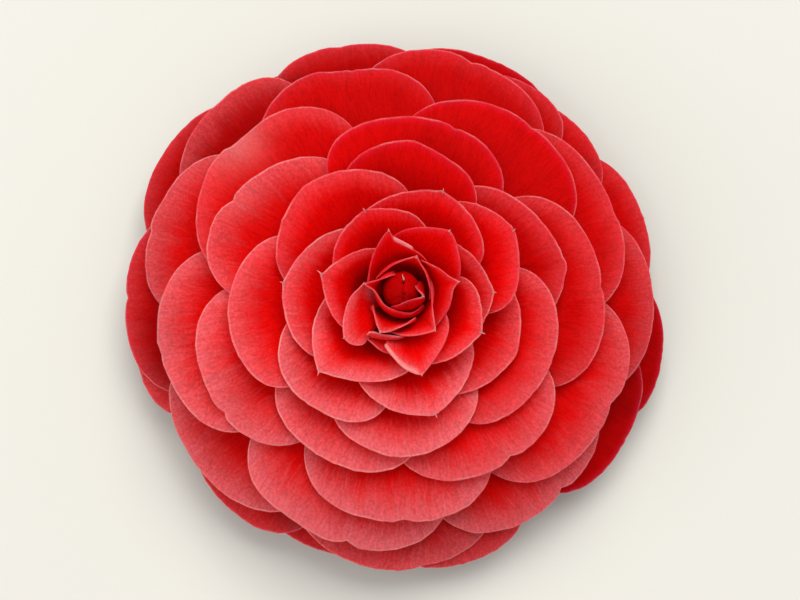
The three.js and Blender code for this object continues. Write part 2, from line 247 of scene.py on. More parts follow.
# %% Lay the petals
TILTS = np.arange(-3, 4) * 0.4
FREE_BENDS = np.arange(-2, 3) * 0.4
PLACES = np.linspace(-1, 1, 13)
COVERED = 0.93
# How much closer than one layer two petals lie at the side of the lower and of the upper one.
CLOSER_LOWER, CLOSER_UPPER = 0.5, 0.15
# Petals that reach less than this begin to hug the heart, and the smallest hug it fully.
HUG_STARTS, HUG_FULL, HUG = 22, 8, 1.5


def lay(petal, below):
    """Chooses the layer of the petal's middle, its tilt and its bend: lowest and plainest wins."""
    azimuths = petal.azimuth + PLACES * petal.spans(PLACES)
    needed = np.zeros_like(PLACES)
    for other in below:
        place = other.across_at(azimuths)
        gap = 1 - CLOSER_LOWER * place ** 2 - CLOSER_UPPER * PLACES ** 2
        covers = np.abs(place) <= COVERED
        needed = np.where(covers, np.maximum(needed, other.layer(place) + gap), needed)
    hug = min(max((HUG_STARTS - petal.reach) / (HUG_STARTS - HUG_FULL), 0), 1)
    best_cost = math.inf
    for tilt in TILTS:
        for free in FREE_BENDS:
            bend = HUG * hug + free * (1 - 0.6 * hug)
            middle = np.max(needed - tilt * PLACES - bend * PLACES ** 2)
            cost = middle + bend / 3 + 0.05 * abs(tilt) + 0.1 * abs(free)
            if cost < best_cost - 1e-9:
                best_cost = cost
                petal.middle, petal.tilt, petal.bend = middle, tilt, bend


for count, petal in enumerate(petals):
    lay(petal, petals[:count])
print("layers of the petals:", [round(float(petal.middle), 1) for petal in petals])

# %% [markdown]
# ## The camera and the light
#
# The bloom is seen almost straight from above, a little from its lower left, through a long lens.
# The camera looks at the middle of the bloom, and a small shift of its frame sets the crown a
# little above the middle of the frame. The light is one large soft panel beyond the top of the
# frame, with a weaker one on the other side, so that the petals shade each other softly.

# %% Camera
IMAGE_WIDTH = 800
IMAGE_HEIGHT = 600
SENSOR = 36
FOCAL_PIXELS = 2032
CAMERA_DISTANCE = 0.33
CAMERA_LEAN = math.radians(6)
CAMERA_AZIMUTH = math.radians(242)
AIM = Vector((0, 0, 0.020))
CROWN = Vector((0, 0, CROWN_HEIGHT * MM))
CROWN_PIXEL = (403, 292)


def add_camera():
    back = Vector((math.sin(CAMERA_LEAN) * math.cos(CAMERA_AZIMUTH),
                   math.sin(CAMERA_LEAN) * math.sin(CAMERA_AZIMUTH),
                   math.cos(CAMERA_LEAN)))
    right = Vector((0, 1, 0)).cross(back).normalized()
    up = back.cross(right)
    place = AIM + CAMERA_DISTANCE * back
    camera = bpy.data.objects.new("camera", bpy.data.cameras.new("camera"))
    turn = Matrix((right, up, back)).transposed().to_4x4()
    camera.matrix_world = Matrix.Translation(place) @ turn
    camera.data.sensor_width = SENSOR
    camera.data.lens = SENSOR * FOCAL_PIXELS / IMAGE_WIDTH
    crown = CROWN - place
    depth = -crown.dot(back)
    crown_x = FOCAL_PIXELS * crown.dot(right) / depth
    crown_y = FOCAL_PIXELS * crown.dot(up) / depth
    camera.data.shift_x = (crown_x - (CROWN_PIXEL[0] - IMAGE_WIDTH / 2)) / IMAGE_WIDTH
    camera.data.shift_y = (crown_y + (CROWN_PIXEL[1] - IMAGE_HEIGHT / 2)) / IMAGE_WIDTH
    camera.data.clip_start = 0.01
    bpy.context.scene.collection.objects.link(camera)
    bpy.context.scene.camera = camera
    return camera


camera = add_camera()
print("camera shift:", camera.data.shift_x, camera.data.shift_y)

# %% Light
bpy.context.scene.view_settings.view_transform = "Standard"


def add_panel(name, place, size, power):
    """A soft square light that faces the bloom."""
    light = bpy.data.lights.new(name, "AREA")
    light.size = size
    light.energy = power
    panel = bpy.data.objects.new(name, light)
    panel.location = place
    panel.rotation_euler = (AIM - Vector(place)).to_track_quat("-Z", "Y").to_euler()
    bpy.context.scene.collection.objects.link(panel)


add_panel("main_light", (0.18, 1.08, 1.72), 1.5, 36.0)
add_panel("fill_light", (-1.35, -0.45, 1.6), 2.4, 18.5)
world = bpy.data.worlds.new("studio")
world.use_nodes = True
sky = world.node_tree.nodes["Background"]
sky.inputs["Color"].default_value = (0.9, 0.92, 1.0, 1)
sky.inputs["Strength"].default_value = 0.46
bpy.context.scene.world = world
print("lights:", [light.name for light in bpy.data.lights])

# %% [markdown]
# ## From outline to blade
#
# A petal is a thin blade. It could be a flat sheet with a Solidify modifier, but a petal is thicker
# at its base than at its rim, and its rim is rounded. So the blade is made as two grids of points,
# an upper and a lower face, closed by a rounded rim. Across the petal the grid's columns crowd
# towards the sides, where the rim turns, and round the notch; along it the rows crowd towards the
# rim, which is seen. The marks of single petals are added here too: broad dips in the rim and folds
# that run in from it. Each blade also tells the finish how far every point is from the rim, where
# it lies across the petal, how pale it is painted, which is mostly painted light and painted shade,
# where it has a painted highlight, and how strong the pale line of the rim is there.

# %% Blade helpers
COLUMNS = 61
NOTCH_COLUMNS = 12
NOTCH_ROOM = 3.5
ROWS = 28
ROW_CROWDING = 1.35
BASE_THICKNESS = 0.55
BLADE_THICKNESS = 0.42
RIM_THICKNESS = 0.24
LONGEST_SHARE = 1.25
HALVINGS = 26


def ripple(random, places, first, last):
    """A smooth random curve between about -1 and 1: a few sine waves with random phases."""
    total = np.zeros_like(places)
    for count in range(first, last + 1):
        size, phase = random.uniform(0.5, 1), random.uniform(0, 2 * math.pi)
        total = total + size * np.sin(count * places + phase)
    return total / math.sqrt(last - first + 1)


def smooth_step(low, high, value):
    share = np.clip((value - low) / (high - low), 0, 1)
    return share * share * (3 - 2 * share)


def bump(place, centre, width, power=2.0):
    """A hump of height 1: round for power 2, sharp for power 1."""
    return np.exp(-(np.abs(place - centre) / width) ** power)


def unit(vector):
    return vector / np.linalg.norm(vector)


def runs_along(points):
    """How far along a line each of its points is; a grid is measured along its first axis."""
    steps = np.linalg.norm(np.diff(points, axis=0), axis=-1)
    return np.concatenate([np.zeros_like(steps[:1]), np.cumsum(steps, axis=0)])


def blade_shares():
    """How far along a blade each row of its grid lies, from 0 at the base to 1 at the rim."""
    return 1 - (1 - np.linspace(0, 1, ROWS)) ** ROW_CROWDING


def share_at_rim(layer, rim_reach, lowest):
    """How far along its curve each column runs, by halving: to its reach, or down to a height."""
    low = np.zeros_like(rim_reach)
    high = np.full_like(rim_reach, LONGEST_SHARE)
    for _ in range(HALVINGS):
        middle = (low + high) / 2
        reach, height = layer_point(layer, middle)
        goes_on = (reach < rim_reach) | (height < lowest)
        low = np.where(goes_on, middle, low)
        high = np.where(goes_on, high, middle)
    return low


print("a hump:", bump(np.array([-1.0, 0, 1]), 0, 1))

# %% Marks of single petals
# By petal number. A dip in the rim: its place in degrees from the tip, its depth and width in mm.
DIPS = {17: (-9, 0.7, 7), 22: (-7, 0.9, 5.5), 23: (-13, 1.3, 7), 27: (-8, 0.8, 4.5)}
# A fold that runs in from the rim: its place in degrees, its height in layers, its width in mm.
FOLDS = {4: (-7, 0.25, 2.5), 5: (1, 0.35, 2.5), 19: (1, -0.4, 2.5), 22: (-1, 0.5, 3),
         24: (2, 0.35, 3), 27: (-2, 0.6, 3.5), 37: (-7.5, -0.4, 1.5), 13: (6, 0.3, 3),
         25: (-1.5, -0.35, 2.5), 30: (7, -0.35, 2.5), 21: (-10, 0.25, 3)}


def columns_of(petal):
    """Places of the grid's columns across a petal."""
    even = np.sin(np.linspace(-1, 1, COLUMNS - NOTCH_COLUMNS) * math.pi / 2)
    span = float(petal.spans(petal.notch_at))
    near = np.linspace(-1, 1, NOTCH_COLUMNS)
    near = petal.notch_at / span + near ** 3 * NOTCH_ROOM / (math.radians(span) * petal.reach)
    return np.sort(np.concatenate([even, near]))


print("columns of the first petal:", np.round(columns_of(petals[0])[:5], 2))

# %% The upper face of a petal
EDGE_DROP = 0.65
RIM_UNEVENNESS = 0.07
NOTCH_WIDTH = 1.3
WAVE = 0.10
MARGIN_CURL = 0.20
FOLD_HEIGHT = 0.6


def upper_face(petal):
    """Points of the petal's upper face, in mm, as an array of columns, rows and coordinates."""
    across = columns_of(petal)
    offset = across * petal.spans(across)
    sideways = np.radians(offset) * petal.reach
    rim_layer = petal.layer(across)
    rim_reach = petal.edge_reach(across)
    rim_reach += RIM_UNEVENNESS * ripple(petal.random, sideways, 1, 4) * (1 - across ** 4)
    notch_place = math.radians(petal.notch_at) * petal.reach
    rim_reach -= petal.notch_depth * bump(sideways, notch_place, NOTCH_WIDTH, 1.3)
    if petal.number in DIPS:
        place, depth, width = DIPS[petal.number]
        rim_reach -= depth * bump(offset, place, math.degrees(width / petal.reach))
    tip_share = share_at_rim(np.array([petal.middle]), np.array([petal.reach]), -math.inf)
    lowest = layer_point(petal.middle, tip_share[0])[1] - EDGE_DROP * petal.reach
    rim_share = share_at_rim(rim_layer, rim_reach, lowest)
    along = blade_shares()
    wave = ripple(petal.random, across * 2, 1, 3)[:, None] * smooth_step(0.3, 1, along)
    curl = smooth_step(0.8, 1, along) ** 2
    layers = rim_layer[:, None] + WAVE * wave - MARGIN_CURL * curl
    if petal.number in FOLDS:
        place, height, width = FOLDS[petal.number]
        ridge = bump(sideways, math.radians(place) * petal.reach, width, 1.4)
        layers += FOLD_HEIGHT * height * ridge[:, None] * smooth_step(0.45, 0.95, along)
    reach, height = layer_point(layers, rim_share[:, None] * along)
    angle = np.radians(petal.azimuth + offset)[:, None]
    return np.stack([reach * np.cos(angle), reach * np.sin(angle), height], axis=2)


print("the first petal's face:", upper_face(petals[0]).shape)

# %% Mesh helpers
def ring_faces(start, rings, sides):
    """Faces of the wall through a stack of rings of points, the first of which is start."""
    faces = []
    for low in range(start, start + (rings - 1) * sides, sides):
        high = low + sides
        for side in range(sides):
            after = (side + 1) % sides
            faces.append([low + side, low + after, high + after, high + side])
    return faces


def solid_faces(rings, sides):
    """Faces of a stack of rings that is closed at both ends."""
    top = (rings - 1) * sides
    ends = [list(range(sides - 1, -1, -1)), list(range(top, top + sides))]
    return ring_faces(0, rings, sides) + ends


def add_piece(name, points, faces, values):
    """Makes a smooth mesh from points in mm, and stores values at its points for the finish."""
    mesh = bpy.data.meshes.new(name)
    mesh.from_pydata((np.array(points).reshape(-1, 3) * MM).tolist(), [], faces)
    for title, grid in values.items():
        kind, slot = ("FLOAT_VECTOR", "vector") if title == "blade" else ("FLOAT", "value")
        flat = np.array(grid, dtype=np.float32).reshape(-1)
        mesh.attributes.new(title, kind, "POINT").data.foreach_set(slot, flat)
    mesh.shade_smooth()
    mesh.validate()
    piece = bpy.data.objects.new(name, mesh)
    bpy.context.scene.collection.objects.link(piece)
    return piece


print("a wall of 3 rings of 4 points has", len(ring_faces(0, 3, 4)), "faces")

# %% The sides and the border of a blade
def face_normals(points):
    """Unit normals of a grid of points, on the side that looks towards the axis."""
    along_columns = np.gradient(points, axis=0)
    along_rows = np.gradient(points, axis=1)
    normals = np.cross(along_rows, along_columns)
    normals /= np.linalg.norm(normals, axis=2, keepdims=True) + 1e-9
    return normals


def border_of(columns, rows):
    """The grid places round the blade, from the base along the low side, the rim, the high side."""
    places = [(0, row) for row in range(rows - 1)]
    places += [(column, rows - 1) for column in range(columns - 1)]
    places += [(columns - 1, row) for row in range(rows - 1, 0, -1)]
    places += [(column, 0) for column in range(columns - 1, 0, -1)]
    return places


print("a blade has", len(border_of(COLUMNS, ROWS)), "points round its rim")

# %% The mesh of a blade
SPIKE_SIDES, SPIKE_STEPS, SPIKE_BEND = 8, 5, np.array((0, 0, 0.3))
# How far the rounded rim stands out, as a share of the thickness.
ROUNDING = 0.45


class BladeMesh:
    """Collects blades into one mesh, with what the finish needs to know at each point."""

    def __init__(self):
        self.points, self.faces = [], []
        self.values = {"rim_mm": [], "blade": [], "shade_and_tone": [], "pale": [], "line": []}

    def add(self, upper, thickness, number, shade_and_tone, pale, line):
        """Adds a blade from its upper face; thickness, pale and line hold a value for each point."""
        columns, rows = upper.shape[:2]
        lower = upper - face_normals(upper) * thickness[:, :, None]
        base_mm = runs_along(upper.swapaxes(0, 1)).T
        side_mm = runs_along(upper)
        rim_mm = np.minimum(base_mm[:, -1:] - base_mm, np.minimum(side_mm, side_mm[-1:] - side_mm))
        along_rim = side_mm[:, -1:] - side_mm[-1, -1] / 2
        sideways = np.repeat(along_rim, rows, axis=1)
        start = len(self.points)
        ring = border_of(columns, rows)
        middle = (upper + lower) / 2
        rounded = []
        for column, row in ring:
            inner = (min(max(column, 1), columns - 2), min(max(row, 1), rows - 2))
            away = middle[column, row] - middle[inner]
            away /= np.linalg.norm(away) + 1e-9
            rounded.append(middle[column, row] + away * thickness[column, row] * ROUNDING)
        self.points.extend(upper.reshape(-1, 3))
        self.points.extend(lower.reshape(-1, 3))
        self.points.extend(rounded)
        blade = np.stack([sideways, rim_mm, np.full_like(rim_mm, number)], axis=2)
        grids = {"rim_mm": rim_mm, "blade": blade, "shade_and_tone": np.full_like(rim_mm, shade_and_tone),
                 "pale": pale, "line": line}
        for title, grid in grids.items():
            flat = list(grid.reshape(-1, *grid.shape[2:]))
            self.values[title].extend(flat + flat + [grid[place] for place in ring])
        self._join(start, columns, rows, ring)

    def add_spike(self, foot, tip, radius, number, shade_and_tone):
        """Adds the fine point at the tip of a petal: a slim cone that bends upwards a little."""
        axis = unit(tip - foot)
        right = unit(np.cross(axis, (0, 0, 1.0)))
        up = np.cross(right, axis)
        start = len(self.points)
        for step in range(SPIKE_STEPS):
            share = step / SPIKE_STEPS
            centre = foot + (tip - foot) * share + SPIKE_BEND * radius * share ** 2
            wide = radius * (1 - share) ** 0.8
            for angle in np.arange(SPIKE_SIDES) * 2 * math.pi / SPIKE_SIDES:
                self.points.append(centre + wide * (math.cos(angle) * right + math.sin(angle) * up))
        self.points.append(tip + SPIKE_BEND * radius)
        self.points.append(foot)
        self.faces.extend(ring_faces(start, SPIKE_STEPS, SPIKE_SIDES))
        end = start + SPIKE_STEPS * SPIKE_SIDES
        for side in range(SPIKE_SIDES):
            after = (side + 1) % SPIKE_SIDES
            self.faces.append([end - SPIKE_SIDES + side, end - SPIKE_SIDES + after, end])
            self.faces.append([start + after, start + side, end + 1])
        steady = {"rim_mm": 0.2, "blade": (0, 0.2, number), "shade_and_tone": shade_and_tone, "pale": 1.0, "line": 1.0}
        for title, value in steady.items():
            self.values[title].extend([value] * (end + 2 - start))

    def _join(self, start, columns, rows, ring):
        """Adds the faces of the upper and the lower grid and of the rounded rim between them."""
        under = columns * rows
        for column in range(columns - 1):
            for row in range(rows - 1):
                corner = start + column * rows + row
                face = [corner, corner + 1, corner + rows + 1, corner + rows]
                self.faces.append(face[::-1])
                self.faces.append([place + under for place in face])
        edge = start + 2 * under
        upper = [start + column * rows + row for column, row in ring]
        for index, place in enumerate(upper):
            after = (index + 1) % len(ring)
            self.faces.append([place, upper[after], edge + after, edge + index])
            self.faces.append([edge + index, edge + after, upper[after] + under, place + under])

    def build(self, name):
        return add_piece(name, self.points, self.faces, self.values)


print("a blade tells the finish:", list(BladeMesh().values))

# %% Build the petals
RINGS = {"guard_petals": 14, "outer_petals": 14, "middle_petals": 14, "inner_petals": 10}
# The azimuth where the petals' cupped faces turn most to the light: petals there are painted paler,
# which is painted light, and petals on the far side are painted deeper red, which is painted shade.
LIT_SIDE_AZIMUTH = 251
MIDDLE_TONE, LIT_SIDE_PAINTED_LIGHT, CHANCE_TONE = 0.5, 0.42, 0.1
# The outermost petals, up to the last guard petal, get painted shade, with less of it on the side
# where faces turn to the light.
LAST_GUARD, GUARD_PAINTED_SHADE, GUARD_SHADE_EASE_LIT_SIDE = 13, 0.4, 0.4
# By petal number: painted shade, how much less pale a petal is painted than its place makes it,
# for the shade it lies in; below 0 it is painted paler for the light it catches.
PAINTED_SHADE = {11: 0.3, 12: 0.35, 6: 0.1, 10: 0.25, 2: 0.2, 5: -0.6, 4: -0.5, 1: -0.3}
# A painted highlight at the rim: its place in degrees from the tip, its radius in mm and its
# strength.
PAINTED_HIGHLIGHTS = {27: (-2, 5, 0.5), 32: (-9, 4, 0.15)}
# Petals with a sharp outline end in a fine point from this number on.
FIRST_POINTED = 44
SPIKE_LENGTH = 0.95
SPIKE_RADIUS = 0.17


def shade_and_tone_of(petal):
    """How pale a petal is painted, 0 to 1: painted light and shade by where it faces, and chance."""
    facing = math.cos(math.radians(petal.azimuth - LIT_SIDE_AZIMUTH))
    painted_shade = PAINTED_SHADE.get(petal.number, 0)
    if petal.number <= LAST_GUARD:
        painted_shade += GUARD_PAINTED_SHADE * (1 - GUARD_SHADE_EASE_LIT_SIDE * max(facing, 0))
    chance = CHANCE_TONE * petal.random.uniform(-1, 1)
    return min(max(MIDDLE_TONE + LIT_SIDE_PAINTED_LIGHT * facing - painted_shade + chance, 0), 1)


def painted_highlight_of(petal):
    """How pale each point of the blade is painted, where the petal has a painted highlight."""
    place, radius, strength = PAINTED_HIGHLIGHTS.get(petal.number, (0, 1, 0))
    across = columns_of(petal)
    sideways = np.radians(across * petal.spans(across) - place) * petal.reach
    inward = (1 - blade_shares()) * petal.reach
    return strength * bump(np.hypot(sideways[:, None], inward[None, :]), 0, radius)


def add_petal_spike(blades, petal, upper, shade_and_tone):
    """The fine point that ends a pointed petal."""
    column = int(np.argmin(np.abs(columns_of(petal))))
    tip = upper[column, -1]
    out = unit(tip - upper[column, -3])
    lean = petal.random.uniform(-0.5, 0.5) * np.array((-out[1], out[0], 0))
    length = SPIKE_LENGTH * petal.random.uniform(0.7, 1.2)
    foot = tip - 0.25 * out - np.array((0, 0, RIM_THICKNESS / 2))
    blades.add_spike(foot, foot + (out + lean) * length, SPIKE_RADIUS, petal.number, shade_and_tone)


def build_petals():
    thickness = np.interp(blade_shares(), [0, 0.8, 1],
                          [BASE_THICKNESS, BLADE_THICKNESS, RIM_THICKNESS])
    everywhere = np.ones((COLUMNS, ROWS))
    made, first = [], 0
    for name, count in RINGS.items():
        blades = BladeMesh()
        for petal in petals[first:first + count]:
            upper = upper_face(petal)
            shade_and_tone = shade_and_tone_of(petal)
            blades.add(upper, everywhere * thickness, petal.number, shade_and_tone, painted_highlight_of(petal),
                       everywhere)
            if petal.sharpness <= 1 and petal.number >= FIRST_POINTED:
                add_petal_spike(blades, petal, upper, shade_and_tone)
        made.append(blades.build(name))
        first += count
    return made


corolla_pieces = build_petals()
for piece in corolla_pieces:
    print(piece.name, len(piece.data.polygons), "faces")

# %% [markdown]
# ## The heart
#
# The last petals of the bloom never open. They close round each other in a ball the size of a pea,
# and the petals next to it stand upright, with corners that are pulled out to fine points. Their
# rims are all that is seen of them, so each of these petals is drawn from its rim: a few points
# round the heart, joined by a smooth line. A curve then runs from each point of the rim down to
# the foot of the petal, by way of its belly, which may be wider than the rim. That is how a petal
# comes to lean in over the ball.

# %% Petals drawn from their rims
# Rim points as (x, y, height) in mm, anticlockwise. Then the number of the point that is the tip,
# the belly at the first and the last point, how pale the petal is painted, which holds its painted
# light and painted shade, and the part of the rim that is rolled in, as shares of its length.
HEART_PETALS = [
    ([(-5.5, -6.2, 28.6), (-5.2, -6.9, 29), (-4.4, -7.7, 29.2), (-3.5, -8.5, 29.3),
      (-2.3, -9.1, 29.2), (-0.7, -9.3, 28.5)], None, 8.3, 7.8, 0.4, (0, 0)),
    ([(-2.4, -8.0, 31.2), (-1.8, -9.0, 31.6), (-1.0, -10.1, 31.9), (0.2, -11.4, 32.1),
      (1.8, -12.3, 32.3), (3.0, -12.8, 32.7), (4.3, -11.2, 32.4), (5.6, -9.3, 32.1),
      (6.7, -7.3, 31.8), (7.2, -5.4, 31.5), (6.9, -3.4, 30.8), (6.2, -2.2, 29)],
     5, 8.0, 6.6, 0.5, (0, 0.36)),
    ([(8.0, 0.9, 29), (8.9, 2.5, 31.2), (9.0, 4.6, 32.1), (8.6, 6.7, 32.5), (8.1, 8.5, 32.9),
      (7.3, 9.7, 33.4), (6.0, 10.0, 33), (4.3, 10.2, 32.7), (2.1, 10.2, 32.4), (0.2, 9.8, 32),
      (-1.4, 9.0, 30.5)], 5, 7.6, 7.0, 0.1, (0, 0)),
    ([(-5.7, 2.0, 28.3), (-6.5, 1.0, 29.6), (-8.0, -0.6, 30.8), (-8.8, -2.6, 31.4),
      (-9.2, -4.8, 31.9), (-9.1, -7.0, 32.2), (-8.0, -7.9, 31.8), (-6.9, -8.1, 31.5),
      (-5.9, -7.9, 31.0), (-5.8, -6.8, 29.6), (-5.5, -5.5, 27.8), (-5.3, -4.4, 26)],
     5, 6.0, 6.2, 0.75, (0, 0)),
    ([(4.0, 5.0, 29.4), (3.0, 6.0, 31), (1.5, 6.9, 31.9), (-0.2, 7.8, 32.4), (-1.4, 8.5, 32.7),
      (-2.2, 9.7, 33.3), (-2.9, 8.9, 32.6), (-3.6, 7.8, 32.1), (-4.4, 6.1, 31.5),
      (-4.9, 4.2, 30.6), (-5.1, 2.2, 29.4)], 5, 6.0, 5.6, 0.08, (0.24, 0.44)),
    ([(4.9, -5.3, 29), (5.6, -4.6, 30.8), (6.4, -3.5, 31.5), (7.2, -2.3, 32), (7.6, -0.8, 32.4),
      (7.9, 0.7, 32.9), (8.7, 1.7, 33.5), (7.4, 2.4, 33), (5.9, 3.6, 32.4), (4.3, 4.5, 31.8),
      (3.0, 5.2, 30.8)], 6, 5.6, 5.4, 0.2, (0, 0)),
    ([(-5.2, -6.0, 31.2), (-4.3, -6.0, 31.6), (-3.3, -6.3, 31.6), (-1.9, -6.5, 31.4),
      (-0.3, -6.6, 30.8), (0.6, -6.2, 29.5)], None, 9.8, 7.3, 0.5, (0, 0)),
    ([(-2.2, -5.6, 29.4), (-1.1, -6.1, 30.8), (0.4, -6.5, 31.6), (2.0, -6.5, 32.2),
      (3.8, -6.2, 32.9), (5.0, -5.9, 33.5), (4.6, -2.8, 32.7), (4.5, -0.6, 32.1),
      (4.5, 1.0, 31.5), (3.6, 3.5, 29.8)], 5, 6.8, 4.6, 0.3, (0, 0)),
    ([(4.3, -0.5, 30), (4.3, 0.6, 31.4), (3.9, 2.1, 32), (3.4, 3.4, 32.5), (2.6, 4.6, 33.2),
      (2.1, 5.5, 34), (0.1, 5.0, 32.6), (-1.2, 4.5, 31.8), (-2.7, 3.5, 30.5),
      (-3.8, 2.6, 29)], 5, 4.7, 4.4, 0.08, (0, 0)),
    ([(-4.3, -1.6, 28.4), (-4.2, -3.0, 30.4), (-3.9, -4.8, 31.8), (-3.5, -6.2, 33),
      (-2.3, -6.0, 32.5), (-0.8, -5.4, 32), (0.4, -4.8, 31.6), (1.4, -4.1, 31),
      (2.1, -3.5, 29)], 3, 5.8, 5.4, 0.4, (0, 0)),
    ([(-0.8, 2.9, 30), (-1.6, 2.7, 31.8), (-3.5, 2.0, 32.3), (-5.9, 1.3, 33), (-4.3, 0.4, 32.2),
      (-3.6, -0.5, 31.6), (-2.7, -1.7, 31.2), (-1.4, -2.4, 30.9), (0.1, -2.8, 30.6),
      (1.3, -2.9, 30.3), (2.3, -2.4, 29.8), (3.3, -1.4, 28.6)], 3, 3.9, 4.6, 0.12, (0, 0)),
    ([(-1.6, -1.8, 30), (-0.5, -1.7, 31.8), (0.7, -1.2, 32.2), (2.0, -0.8, 32.5),
      (3.2, -0.6, 33), (2.7, 0.0, 32.6), (2.2, 0.6, 32.2), (1.8, 1.2, 31.7), (1.6, 1.5, 30.8)],
     4, 3.9, 3.7, 0.0, (0, 0)),
]
print("rims in the table:", len(HEART_PETALS))

# %% The line of a rim and the face below it
HEART_CENTRE = np.array((0.2, 0.9))
HEART_FOOT_RADIUS, HEART_FOOT = 1.8, 21.0
# How far above the foot and below the rim the belly's two control points are.
BELLY_ABOVE_FOOT, BELLY_BELOW_RIM = 4.5, 2.2
# Heights between which the heart goes over from the axis of the bloom to its own centre.
LEAN_HEIGHTS = (20, 28)


def smooth_line(corners, count):
    """Evenly spaced points on a smooth line through a few corners."""
    runs = runs_along(corners)
    slopes = np.gradient(corners, runs, axis=0)
    wanted = np.linspace(0, runs[-1], count)
    first = np.clip(np.searchsorted(runs, wanted, side="right") - 1, 0, len(corners) - 2)
    room = (runs[first + 1] - runs[first])[:, None]
    share = (wanted - runs[first])[:, None] / room
    rest = 1 - share
    return (rest ** 2 * (1 + 2 * share) * corners[first] + rest ** 2 * share * room * slopes[first]
            + share ** 2 * (3 - 2 * share) * corners[first + 1]
            - share ** 2 * rest * room * slopes[first + 1])


def rim_line(corners, tip):
    """The rim as one point for each column, and the column of the tip, where it has a corner."""
    corners = np.array(corners, dtype=float)
    if tip is None:
        return smooth_line(corners, COLUMNS), None
    runs = runs_along(corners)
    column = round((COLUMNS - 1) * float(runs[tip] / runs[-1]))
    before = smooth_line(corners[:tip + 1], column + 1)
    after = smooth_line(corners[tip:], COLUMNS - column)
    return np.concatenate([before, after[1:]]), column


def heart_face(rim, first_belly, last_belly):
    """Upper face of a petal that is drawn from its rim."""
    away = rim[:, :2] - HEART_CENTRE
    rim_reach = np.linalg.norm(away, axis=1)
    away /= rim_reach[:, None]
    belly = np.linspace(first_belly, last_belly, COLUMNS)
    shares = bezier_shares(blade_shares()[None, :])
    reach = (shares[0] * HEART_FOOT_RADIUS + (shares[1] + shares[2]) * belly[:, None]
             + shares[3] * rim_reach[:, None])
    height = (shares[0] * HEART_FOOT + shares[1] * (HEART_FOOT + BELLY_ABOVE_FOOT)
              + shares[2] * (rim[:, 2:] - BELLY_BELOW_RIM) + shares[3] * rim[:, 2:])
    centre = HEART_CENTRE[None, None, :] * smooth_step(*LEAN_HEIGHTS, height)[:, :, None]
    plan = centre + away[:, None, :] * reach[:, :, None]
    return np.concatenate([plan, height[:, :, None]], axis=2)


print("a rim has", len(rim_line(*HEART_PETALS[0][:2])[0]), "points")

# %% Build the heart
ROLL_THICKNESS = 0.52
HEART_WAVE = 0.05
HEART_SPIKE = 0.55
# The pale line of a rim: its strength everywhere, what the tip adds, and in how many mm that fades.
LINE, LINE_AT_TIP, LINE_FADES = 0.25, 0.9, 2.5
BALL_NUMBER = 70
BALL_POINT = np.array(((0.3, 1.9, 32.4), (-0.1, 3.0, 32.9)))
BALL_POINT_RADIUS, BALL_POINT_TONE = 0.2, 0.5


def rolled_part(first, last):
    """1 where the rim is rolled in, between two shares of its length, and 0 elsewhere."""
    share = np.linspace(0, 1, COLUMNS)
    roll = smooth_step(first - 0.03, first, share) * (1 - smooth_step(last - 0.04, last, share))
    return roll[:, None] * smooth_step(0.86, 0.95, np.linspace(0, 1, ROWS))


def build_heart():
    blades = BladeMesh()
    random = np.random.default_rng(59)
    places = np.linspace(0, 1, COLUMNS) * 9
    rows = np.linspace(0, 1, ROWS)
    plain = np.interp(rows, [0, 1], [BLADE_THICKNESS, RIM_THICKNESS])
    for number, row in enumerate(HEART_PETALS, start=len(petals) + 1):
        corners, tip, first_belly, last_belly, shade_and_tone, rolled = row
        rim, column = rim_line(corners, tip)
        upper = heart_face(rim, first_belly, last_belly)
        ripples = ripple(random, places, 1, 4)[:, None] * smooth_step(0.5, 1, rows)
        upper[..., 2] += HEART_WAVE * ripples
        roll = rolled_part(*rolled)
        from_tip = 1.0 if tip is None else np.linalg.norm(rim - rim[column], axis=1)[:, None]
        line = LINE + LINE_AT_TIP * np.exp(-from_tip / LINE_FADES) * np.ones((COLUMNS, ROWS))
        blades.add(upper, plain + (ROLL_THICKNESS - plain) * roll, number, shade_and_tone, roll, line)
        if tip is None:
            continue
        out = upper[column, -1] - upper[column, -3]
        out[:2] += 0.5 * (upper[column, -1, :2] - HEART_CENTRE) / 6
        out = unit(out)
        foot = upper[column, -1] - 0.2 * out
        blades.add_spike(foot, foot + out * HEART_SPIKE, SPIKE_RADIUS, number, shade_and_tone)
    blades.add_spike(*BALL_POINT, BALL_POINT_RADIUS, BALL_NUMBER, BALL_POINT_TONE)
    return blades.build("heart_petals")


corolla_pieces.append(build_heart())
print("the heart has", len(corolla_pieces[-1].data.polygons), "faces")

# %% [markdown]
# ## The closed ball
#
# A sphere would do from afar, but the seam where the last petals meet is the first thing the eye
# goes to. So the ball is a grid of points round an axis, and it is pressed in along a winding seam
# and a second crease across its end, with small pits in them, and one side laps over the other.

# %% The ball
BALL_RADIUS = 2.95
BALL_FOOT, BALL_WAIST, BALL_TOP = 18.0, 28.6, 33.0
BALL_SIDES, BALL_RINGS, BALL_WALL_RINGS = 144, 72, 12
SEAM_DEPTH, SEAM_WIDTH, LAP_HEIGHT = 0.10, 0.24, 0.05
BALL_CENTRE = (0.0, 0.75)
# Painted shade: how deep the ball is painted in the heart of the bloom, and how much deeper its
# creases and pits are painted, on the same scale as the petals.
BALL_PAINTED_SHADE, CREASE_PAINTED_SHADE = -0.44, 0.3
PITS = ((0.12, 0.85), (0.2, -1.0), (0.15, -1.6))
PIT_WIDTH = 0.26
FAR_FROM_RIM = 9


